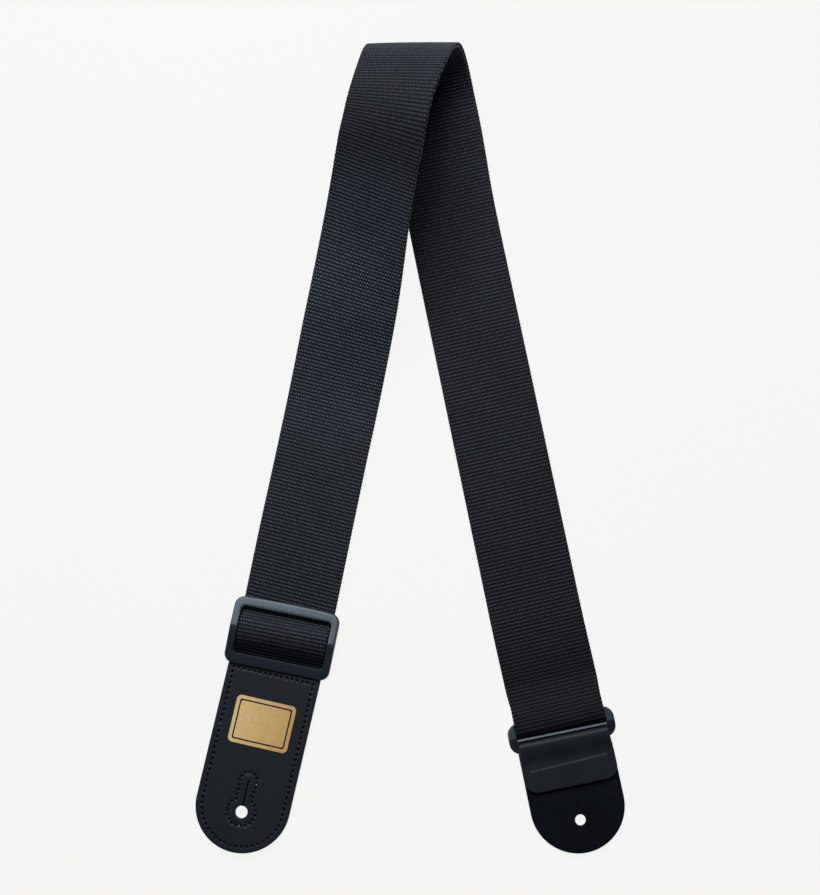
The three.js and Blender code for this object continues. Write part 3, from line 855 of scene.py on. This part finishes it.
def add_slider_webbing(look):
    line = [(16.5, PASS_LOW), (13.6, PASS_LOW)]
    line += ease_line(13, PASS_LOW, 3.6, PASS_HIGH, 12)
    line += [(1.8, PASS_HIGH + 0.18), (0, PASS_HIGH + 0.25), (-1.8, PASS_HIGH + 0.18)]
    line += ease_line(-3.6, PASS_HIGH, -13, PASS_LOW, 12)
    line += [(-13.6, PASS_LOW), (-16.5, PASS_LOW)]
    place, length = polyline_placer(line, on_slider)
    over = webbing(
        "webbing_over_bar", place, 0, length, look, painted_light=hump_painted_shade, nap=-1,
        scale=lambda s: 0.97)
    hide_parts("webbing_slider_pass")
    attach(over, "slider")
    radius = SLIDER_BAR_HEIGHT / 2 + 0.25 + WEB_THICK / 2
    low, high = SLIDER_BAR_Z - radius, SLIDER_BAR_Z + radius
    loop_line = [(4.2, high), (0, high)]
    loop_line += half_turn(-2.6, SLIDER_BAR_Z, radius, 16)
    loop_line += [(0, low), (7, low)]
    place, length = polyline_placer(loop_line, on_slider)
    loop = webbing(
        "webbing_end_loop", place, 0, length, look, fine=False, per_row=2,
        scale=lambda s: 0.98)
    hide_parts("webbing_sewn_loop")
    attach(loop, "slider")


# -------- moulded frames
def rounded_loop(size, radius, count, bulge=0.0):
    """count points round a rounded rectangle, spread the same way for any size. bulge
    raises the middle of its upper side above that side's ends."""
    half = np.array(size) / 2
    on_side = count // 4 // 2
    on_arc = count // 4 - on_side
    share = np.linspace(0, 1, on_side, endpoint=False)[:, None]
    parts = []
    for turn, signs in enumerate(((1, 1), (-1, 1), (-1, -1), (1, -1))):
        angles = turn * math.pi / 2 + np.linspace(0, math.pi / 2, on_arc + 1)
        arc = (half - radius) * signs
        arc = arc + radius * np.column_stack([np.cos(angles), np.sin(angles)])
        across = arc[-1] * ((-1, 1) if turn % 2 == 0 else (1, -1))
        parts += [arc[:-1], arc[-1] + (across - arc[-1]) * share]
    points = np.concatenate(parts)
    on_top = points[:, 1] > half[1] - radius - 0.01
    points[:, 1] -= np.where(on_top, bulge * (points[:, 0] / half[0]) ** 2, 0)
    return points


def moulded_frame(name, outer, inner, roof, bottom, edge, put, material):
    """A frame between two outlines with a ridged top, softly rounded along its edges."""
    width = np.linalg.norm(outer - inner, axis=1)
    share = np.clip(edge / width, 0, 0.3)[:, None]

    def row(across, surface, down=0.0):
        at = outer * (1 - across) + inner * across
        return np.column_stack([at, surface(at[:, 1]) - down * edge])

    rows = [row(across * share, roof, down) for across, down in EDGE_ROWS]
    rows += [row(across, roof) for across in (0.35, 0.5, 0.65)]
    rows += [row(1 - across * share, roof, down) for across, down in reversed(EDGE_ROWS)]
    rows += [row(across, bottom) for across in (1.0, 0.0)]
    faces = ring_faces(len(rows), len(outer), closed=True)
    piece = add_mesh(name, put(*np.concatenate(rows).T), faces, material)
    sharpen(piece)
    return piece


def with_ridge(points, ridge):
    """Moves the points nearest a height onto it, so that the ridge is one clean line."""
    for side in (-1, 1):
        on_side = np.where(points[:, 0] * side > np.abs(points[:, 0]).max() * 0.9)[0]
        nearest = on_side[np.argmin(np.abs(points[on_side, 1] - ridge))]
        points[nearest, 1] = ridge
    return points


def fall(y, slopes):
    """How far a roof lies below its ridge, with one slope past it and one before it."""
    return np.where(y > 0, y * slopes[0], -y * slopes[1])


def add_slider(look):
    outer = rounded_loop(SLIDER_SIZE, SLIDER_CORNER, FRAME_POINTS, SLIDER_BULGE)
    inner = rounded_loop(SLIDER_OPENING, SLIDER_OPENING_CORNER, FRAME_POINTS)
    outer, inner = (with_ridge(loop, SLIDER_RIDGE_Y) for loop in (outer, inner))

    def roof(y):
        return SLIDER_RIDGE_Z - fall(y - SLIDER_RIDGE_Y, SLIDER_SLOPES)

    def bottom(y):
        return np.where(np.abs(y) > SLIDER_SIDE_END, SLIDER_UNDERSIDE, SLIDER_SIDE_UNDERSIDE)

    piece = moulded_frame(
        "slider_body", outer, inner, roof, bottom, SLIDER_EDGE, on_slider, look)
    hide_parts("slider_frame")
    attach(piece, "slider")
    bar = rounded_bar(
        "slider_middle_bar", SLIDER_BAR_DEPTH, SLIDER_BAR_HEIGHT, (0, SLIDER_BAR_Z),
        on_slider, look)
    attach(bar, "slider")


def bar_along(name, outline, put, material):
    """A bar along x with a section given as (y, z) points."""
    places = np.linspace(-BAR_LENGTH / 2, BAR_LENGTH / 2, BAR_ROWS)
    rows = [np.column_stack([np.full(len(outline), x), outline]) for x in places]
    faces = tube_faces(BAR_ROWS, len(outline))
    return add_mesh(name, put(*np.concatenate(rows).T), faces, material)


def rounded_bar(name, depth, height, centre, put, material):
    """A bar with a rounded section, along x. centre is its (y, z)."""
    angles = np.linspace(0, 2 * math.pi, 24, endpoint=False)
    y = depth / 2 * np.sign(np.cos(angles)) * np.abs(np.cos(angles)) ** 0.6
    z = height / 2 * np.sign(np.sin(angles)) * np.abs(np.sin(angles)) ** 0.6
    return bar_along(name, np.column_stack([y, z]) + np.array(centre), put, material)


def add_ring(look):
    outer = rounded_loop(RING_SIZE, RING_CORNER, FRAME_POINTS)
    inner = rounded_loop(RING_OPENING, RING_OPENING_CORNER, FRAME_POINTS)
    outer, inner = (with_ridge(loop, 0.0) for loop in (outer, inner))

    def roof(y):
        return RING_RIDGE_Z - fall(y, RING_SLOPES)

    def bottom(y):
        return RING_UNDERSIDE + np.abs(y) * RING_UNDERSIDE_SLOPE

    piece = moulded_frame("ring_body", outer, inner, roof, bottom, RING_EDGE, on_ring, look)
    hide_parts("end_ring")
    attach(piece, "ring")
    bars = (
        ("ring_webbing_bar", WEB_BAR_Y, 2 * WEB_BAR_RADIUS),
        ("ring_tab_bar", TAB_BAR_Y, 2 * TAB_BAR_RADIUS),
    )
    for name, y, size in bars:
        bar = rounded_bar(name, size, size, (y, RING_BAR_Z), on_ring, look)
        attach(bar, "ring")
    section = STRIP_SECTION + np.array([MIDDLE_BAR_Y, 0])
    middle = bar_along("ring_middle_bar", section, on_ring, look)
    sharpen(middle)
    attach(middle, "ring")


# -------- leather
def arc_points(cx, cy, radius, start, end, spacing):
    """Points along an arc, both ends included."""
    count = max(3, int(abs(end - start) * radius / spacing))
    angles = np.linspace(start, end, count + 1)
    return np.column_stack([cx + radius * np.cos(angles), cy + radius * np.sin(angles)])


def tab_outline(top, end, inset):
    """The tab's edge, from its top left corner round the end to its top right corner."""
    radius = TAB_WIDTH / 2 - inset
    centre = end + TAB_WIDTH / 2
    count = max(2, int((top - centre) / OUTLINE_STEP))
    down = np.linspace(top - inset, centre, count, endpoint=False)
    left = np.column_stack([np.full(count, -radius), down])
    arc = arc_points(0, centre, radius, math.pi, 2 * math.pi, OUTLINE_STEP)
    right = np.column_stack([np.full(count, radius), down[::-1]])
    return np.concatenate([left, arc, right])


def keyhole_outline(tab, grow, slit_half=0.13, hole_radius=3.25, tip_radius=0.36):
    """The button hole with its slit and the slit's small round end, moved out by grow."""
    big, half = hole_radius + grow, slit_half + grow
    small = max(tip_radius + grow * 0.95, half + 0.01)
    open_big, open_small = math.asin(half / big), math.asin(half / small)
    slit_end = tab.hole + tab.slit
    round_hole = arc_points(
        0, tab.hole, big, math.pi / 2 + open_big, 2.5 * math.pi - open_big, KEYHOLE_STEP)
    bottom, top = round_hole[-1], slit_end - small * math.cos(open_small)
    count = max(2, int((top - bottom[1]) / KEYHOLE_STEP))
    rise = np.linspace(bottom[1], top, count + 1)[1:-1]
    right = np.column_stack([np.full(rise.size, half), rise])
    tip = arc_points(
        0, slit_end, small, open_small - math.pi / 2, 1.5 * math.pi - open_small, KEYHOLE_STEP)
    left = np.column_stack([np.full(rise.size, -half), rise[::-1]])
    return np.concatenate([round_hole, right, tip, left])


def inside(points, loop):
    """Which points lie inside a closed loop."""
    x, y = points.T[:, :, None]
    x0, y0 = loop.T[:, None]
    x1, y1 = np.roll(loop, -1, axis=0).T[:, None]
    crosses = (y0 > y) != (y1 > y)
    with np.errstate(divide="ignore", invalid="ignore"):
        at = x0 + (y - y0) * (x1 - x0) / (y1 - y0)
    return np.sum(crosses & (x < at), axis=1) % 2 == 1


def distance_to(points, line, closed=True):
    """Distance from each point to a line of points."""
    ends = np.roll(line, -1, axis=0) if closed else line[1:]
    starts = line if closed else line[:-1]
    best = np.full(len(points), np.inf)
    for a, b in zip(starts, ends):
        along = b - a
        t = np.clip(((points - a) @ along) / max(along @ along, 1e-12), 0, 1)
        best = np.minimum(best, np.linalg.norm(points - a - t[:, None] * along, axis=1))
    return best


def spread_along(line, pitch, closed=False):
    """Points spaced evenly along a line."""
    if closed:
        line = np.concatenate([line, line[:1]])
    along = distances(line)
    count = max(2, round(along[-1] / pitch))
    at = np.linspace(0, along[-1], count + 1)
    if closed:
        at = at[:-1]
    return np.column_stack([np.interp(at, along, line[:, k]) for k in range(2)])


def within(points, loops):
    """Which points lie inside the first loop and in none of the others."""
    wanted = inside(points, loops[0])
    for hole in loops[1:]:
        wanted &= ~inside(points, hole)
    return wanted


def plate(name, loops, extra, top_height, bottom_height, put, material, pit=None):
    """A flat piece with relief. loops are its outline and then its holes, extra are more
    points inside, and top_height and bottom_height give z from points and edge distance.
    pit gives how deep in a stitch hole each point is, from 0 to 1, for the painted shade in the
    holes."""
    edges, start = [], 0
    for loop in loops:
        count = len(loop)
        edges += [(start + i, start + (i + 1) % count) for i in range(count)]
        start += count
    rim_distance = np.min([distance_to(extra, loop) for loop in loops], axis=0)
    keep = within(extra, loops) & (rim_distance > 0.05)
    flat = np.concatenate([*loops, extra[keep]])
    result = geometry.delaunay_2d_cdt([Vector(p) for p in flat], edges, [], 0, 1e-5)
    flat = np.array([v[:] for v in result[0]])
    triangles = np.array(result[2])
    triangles = triangles[within(flat[triangles].mean(axis=1), loops)]
    count = len(flat)
    to_rim = np.min([distance_to(flat, loop) for loop in loops], axis=0)
    faces = [tuple(t) for t in triangles]
    faces += [tuple(t[::-1] + count) for t in triangles]
    sides = [pair for a, b, c in triangles for pair in ((a, b), (b, c), (c, a))]
    known = set(sides)
    faces += [(b, a, a + count, b + count) for a, b in sides if (b, a) not in known]
    both = np.concatenate([flat, flat])
    heights = np.concatenate([top_height(flat, to_rim), bottom_height(flat, to_rim)])
    depth = pit(flat) if pit else np.zeros(count)
    attributes = {"pit": np.concatenate([depth, np.zeros(count)])}
    return add_mesh(name, put(*both.T, heights), faces, material, attributes)


def rounding(distance, radius):
    """How far a rounded edge falls below the face, by distance from the edge."""
    inward = np.clip(1 - distance / radius, 0, 1)
    return radius * (1 - np.sqrt(1 - inward**2))


def grid_points(tab, step=GRID_STEP):
    """Staggered rows of points over a tab."""
    places = np.arange(-GRID_HALF, GRID_HALF, step), np.arange(tab.end, tab.top, step)
    x, y = np.meshgrid(*places)
    x = x + (np.arange(x.shape[0])[:, None] % 2) * step / 2
    return np.column_stack([x.ravel(), y.ravel()])


def hole_rings(holes):
    """Points round each stitch hole, so that it can sink into the leather."""
    rings = [holes]
    for radius, count in ((0.28, 6), (0.5, 8), (STITCH_HOLE, 8)):
        for a in np.linspace(0, 2 * math.pi, count, endpoint=False):
            rings.append(holes + radius * np.array([math.cos(a), math.sin(a)]))
    return np.concatenate(rings)


def pits(points, holes, radius):
    """How deep in a stitch hole each point is, from 0 to 1."""
    nearest = np.full(len(points), np.inf)
    for hole in holes:
        nearest = np.minimum(nearest, np.linalg.norm(points - hole, axis=1))
    return smooth(1.6 * (1 - nearest / radius))


def relief_points(tab, insets, grows, *more):
    """Points along a tab's edges and its keyhole, more of the caller's, and a grid."""
    lines = [tab_outline(tab.top, tab.end, inset) for inset in insets]
    lines += [keyhole_outline(tab, grow) for grow in grows]
    return np.concatenate([*lines, *more, grid_points(tab)])


def stitches(
    name, holes, closed, height, put, material, sag=0.12, radius=0.26, tones=(0.0, 0.15),
    worn_share=0.0,
):
    """A row of short threads, each dipping into its two holes. height is the thread's
    middle, at the leather's surface or a function of x and y."""
    points, faces, tone_values = [], [], []
    ring = 8
    shares = (0.14, 0.22, 0.35, 0.5, 0.65, 0.78, 0.86)
    pairs = list(zip(holes, np.roll(holes, -1, axis=0)))
    for a, b in pairs if closed else pairs[:-1]:
        along = (b - a) / np.linalg.norm(b - a)
        side = np.array([-along[1], along[0]])
        tone = random.uniform(*tones)
        worn = random.random() < worn_share
        faces += tube_faces(len(shares), ring, len(points))
        for t in shares:
            middle = a + (b - a) * t
            base = height(*middle) if callable(height) else height
            dip = 0.35 * abs(2 * t - 1) ** 4
            lift = base + sag * math.sin(math.pi * t) - dip
            thin = radius * (1 - dip)
            for k in range(ring):
                angle = 2 * math.pi * k / ring
                out = side * math.cos(angle) * thin
                points.append([*(middle + out), lift + thin * math.sin(angle)])
                tone_values.append(1.0 if worn and t > 0.6 else tone)
    placed = put(*np.array(points).T)
    return add_mesh(name, placed, faces, material, {"tone": tone_values})


def add_tab_a(leather, suede, thread, foil):
    edge_line = tab_outline(TOP_SEAM + STITCH_INSET, TAB_A.end, STITCH_INSET)
    edge_holes = spread_along(edge_line, STITCH_PITCH)
    key_line = keyhole_outline(TAB_A, TAB_A_KEYHOLE_STITCHES, tip_radius=0.7)
    key_holes = spread_along(key_line, KEYHOLE_PITCH, closed=True)
    top_holes = spread_along(np.array([edge_line[0], edge_line[-1]]), STITCH_PITCH)
    holes = np.concatenate([edge_holes, key_holes, top_holes])
    loops = [tab_outline(TAB_A.top, TAB_A.end, 0), keyhole_outline(TAB_A, 0)]
    extra = relief_points(
        TAB_A, (0.12, 0.3, 0.55, 1.2, 2.2, 4.6), (0.12, 0.35, 0.8, 1.8), hole_rings(holes))

    def pit(points):
        return pits(points, holes, STITCH_HOLE)

    def top_height(points, to_rim):
        groove = smooth(1 - distance_to(points, edge_line, False) / GROOVE_HALF)
        groove += smooth(1 - distance_to(points, key_line) / GROOVE_HALF)
        face = TAB_A_FACE - rounding(to_rim, 0.55)
        return face - GROOVE_DEPTH * groove - PIT_DEPTH * pit(points)

    front = plate(
        "tab_a_leather", loops, extra, top_height,
        lambda p, d: TAB_A_UNDERSIDE + rounding(d, 0.2), on_tab_a, leather, pit)
    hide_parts("tab_a_front_leather")
    back = plate(
        "tab_a_back", loops, grid_points(TAB_A, 3.0),
        lambda p, d: TAB_A_BACKING - rounding(d, 0.15), lambda p, d: rounding(d, 0.3),
        on_tab_a, suede)
    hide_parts("tab_a_backing")
    rim = filler(
        "tab_a_rim", inset_loop(loops[0], 0.35), inset_loop(loops[0], 1.0), on_tab_a, leather)
    lining = filler(
        "tab_a_keyhole_lining", keyhole_outline(TAB_A, 0.7), keyhole_outline(TAB_A, 0.15),
        on_tab_a, leather)
    closing = slit_shade_block("tab_a_slit_core", TAB_A, 1.4, 2.8, on_tab_a, leather)
    face = TAB_A_FACE - STITCH_SUNK
    edge = stitches(
        "tab_a_edge_stitches", edge_holes, False, face, on_tab_a, thread,
        worn_share=WORN_SHARE)
    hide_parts("tab_a_perimeter_thread")
    key = stitches(
        "tab_a_keyhole_stitches", key_holes, True, face, on_tab_a, thread,
        worn_share=WORN_SHARE)
    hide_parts("tab_a_keyhole_thread")
    top = stitches("tab_a_top_stitches", top_holes, False, face, on_tab_a, thread)
    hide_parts("tab_a_top_thread")
    panel = add_emblem(foil)
    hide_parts("tab_a_emblem")
    for piece in (front, back, rim, lining, closing, edge, key, top, panel):
        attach(piece, "strap_front")


def inset_loop(loop, inset):
    """A closed loop moved inward by a distance."""
    ahead, behind = np.roll(loop, -1, axis=0), np.roll(loop, 1, axis=0)
    along = ahead - behind
    along /= np.linalg.norm(along, axis=1, keepdims=True)
    inward = np.column_stack([-along[:, 1], along[:, 0]])
    return loop + inward * inset


def filler(name, outer, inner, put, material, low=1.2, high=3.0):
    """The dark wall of the layers between a tab's two leathers."""
    count = len(outer)
    if len(inner) != count:
        share = np.linspace(0, 1, count)
        old = np.linspace(0, 1, len(inner))
        inner = np.column_stack([np.interp(share, old, inner[:, k]) for k in range(2)])
    points = stack([(outer, low), (outer, high), (inner, high), (inner, low)])
    return add_mesh(
        name, put(*points.T), ring_faces(4, count, closed=True), material)


def slit_shade_block(name, tab, low, high, put, material):
    """A block inside the tab, painted near black as the shade seen through the closed slit of a
    button hole.
    """
    half, bottom, top = 1.4, tab.hole + 3.1, tab.hole + tab.slit + 1.1
    corners = [(-half, bottom), (half, bottom), (half, top), (-half, top)]
    points = stack([(corners, low), (corners, high)])
    # pit 1 paints the whole block near black as shade.
    attributes = {"pit": np.ones(len(points))}
    return add_mesh(
        name, put(*points.T), tube_faces(2, len(corners)), material, attributes)


def add_emblem(foil):
    """A plain gold panel inside a plain gold border, with leather showing between them."""
    low, rise, high = (TAB_A_FACE + z for z in (EMBLEM_LOW, EMBLEM_RISE, EMBLEM_HIGH))

    def loop(inset, radius):
        size = (EMBLEM_WIDTH - 2 * inset, EMBLEM_HEIGHT - 2 * inset)
        return rounded_loop(size, radius, EMBLEM_POINTS) + np.array([0, EMBLEM_Y])

    outer, inner, panel = loop(0, 2.6), loop(1.85, 1.2), loop(2.65, 1.0)
    bevel = outer * 0.996 + inner * 0.004
    points = stack([
        (outer, low), (outer, rise), (bevel, high), (inner, high), (inner, low),
        (panel, low), (panel, high),
    ])
    faces = ring_faces(5, EMBLEM_POINTS, closed=True)
    faces += tube_faces(2, EMBLEM_POINTS, 5 * EMBLEM_POINTS)
    strap = points * (1, 1, 0)
    piece = add_mesh("tab_a_gold_panel", on_tab_a(*points.T), faces, foil, {
        "strap": strap})
    sharpen(piece, 40)
    return piece


def add_tab_b(leather, suede, thread):
    wrap = add_wrap(leather)
    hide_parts("tab_b_front_leather")
    keyhole = keyhole_outline(TAB_B, 0, slit_half=0.1, hole_radius=2.85, tip_radius=0.16)
    loops = [tab_outline(TAB_B.top, TAB_B.end, 0), keyhole]
    extra = relief_points(TAB_B, (0.12, 0.3, 0.6, 1.5), (0.12, 0.35, 0.8))
    face = plate(
        "tab_b_face", loops, extra, lambda p, d: LEATHER_THICK - rounding(d, 0.15),
        lambda p, d: rounding(d, 0.5), on_ring, leather)
    backing = plate(
        "tab_b_suede", loops, extra, lambda p, d: SUEDE_HIGH - rounding(d, 0.3),
        lambda p, d: SUEDE_LOW + rounding(d, 0.1), on_ring, suede)
    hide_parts("tab_b_backing")
    edge_line = tab_outline(FLAP_END - 1.5, TAB_B.end, STITCH_INSET)
    edge_holes = spread_along(edge_line, STITCH_PITCH)
    key_line = keyhole_outline(TAB_B, TAB_B_KEYHOLE_STITCHES)
    key_holes = spread_along(key_line, STITCH_PITCH, closed=True)
    sunk = {"sag": 0.03, "radius": 0.22, "tones": (0.0, 0.0)}
    edge = stitches(
        "tab_b_edge_stitches", edge_holes, False, TAB_B_STITCH_Z, on_ring, thread, **sunk)
    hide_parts("tab_b_perimeter_thread")
    key = stitches(
        "tab_b_keyhole_stitches", key_holes, True, TAB_B_STITCH_Z, on_ring, thread, **sunk)
    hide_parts("tab_b_keyhole_thread")
    closing = slit_shade_block("tab_b_slit_core", TAB_B, 1.0, 2.0, on_ring, leather)
    zigzag = add_zigzag(thread)
    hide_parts("tab_b_flap_thread")
    for piece in (wrap, face, backing, edge, key, closing, zigzag):
        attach(piece, "tab_b")


def flap_line():
    """The flap's side view, from its end to the top of the ring's last bar."""
    line = [(FLAP_END, FLAP_MIDDLE), (-26, FLAP_MIDDLE), (-20, FLAP_MIDDLE)]
    top = RING_BAR_Z + WRAP_RADIUS
    return line + ease_line(FLAP_RISE, FLAP_MIDDLE, TAB_BAR_Y - 1.2, top, 18)


def add_wrap(leather):
    """The face leather where it goes round the ring's last bar and back as a flap."""
    turn = half_turn(TAB_BAR_Y, RING_BAR_Z, WRAP_RADIUS, 24)
    line = flap_line() + [(2 * TAB_BAR_Y - y, z) for y, z in turn]
    line += ease_line(TAB_BAR_Y - 1.5, RING_BAR_Z - WRAP_RADIUS, -9.5, LEATHER_THICK / 2, 3)
    line += [(TAB_B.top - 0.05, LEATHER_THICK / 2)]
    place, length = polyline_placer(line, on_ring)
    s = np.concatenate([[0, 0.12, 0.3, 0.6, 1.0], np.arange(1.6, length, 0.55), [length]])
    half = TAB_WIDTH / 2 - rounding(s, FLAP_CORNER)
    half = half - 0.7 * smooth((s - 14) / 5) * smooth((length - 2 - s) / 4)
    near_edge = np.array([0.97, 0.985, 0.995, 1])
    share = np.concatenate([-near_edge[::-1], np.linspace(-0.94, 0.94, 40), near_edge])
    side = np.repeat([1.0, -1.0], share.size)
    u = half[:, None] * np.concatenate([share, share[::-1]])
    along = np.broadcast_to(s[:, None], u.shape)
    from_edge = np.minimum(half[:, None] - np.abs(u), along)
    thick = LEATHER_THICK / 2 - rounding(from_edge, 0.5)
    points = place(along, u, -side * thick).reshape(-1, 3)
    return add_mesh("tab_b_wrap", points, tube_faces(*u.shape), leather)


def add_zigzag(thread):
    """The narrow zigzag seam across the flap, a little out of square."""
    x = np.linspace(-ZIGZAG_HALF, ZIGZAG_HALF, ZIGZAG_STEPS + 1)
    swing = ZIGZAG_SWING * (-1.0) ** np.arange(ZIGZAG_STEPS + 1)
    holes = np.column_stack([x, ZIGZAG_Y + ZIGZAG_SLANT * x + swing])
    line = np.array(flap_line())

    def flap_top(_, y):
        return float(np.interp(y, line[:, 0], line[:, 1])) + LEATHER_THICK / 2 - 0.02

    return stitches(
        "tab_b_zigzag_stitches", holes, False, flap_top, on_ring, thread, sag=0.1,
        radius=0.27, tones=(0.6, 0.92))


# -------- build
add_camera()
add_studio()
bpy.context.scene.view_settings.view_transform = "Standard"

web_look = webbing_material()
leather_look = leather_material()
suede_look = suede_material()
thread_look = thread_material()
plastic_look = plastic_material()
foil_look = foil_material()

add_webbing(web_look)
add_slider_webbing(web_look)
add_slider(plastic_look)
add_ring(plastic_look)
add_tab_a(leather_look, suede_look, thread_look, foil_look)
add_tab_b(leather_look, suede_look, thread_look)
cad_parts["sewn_loop_thread"].material_slots[0].material = thread_look
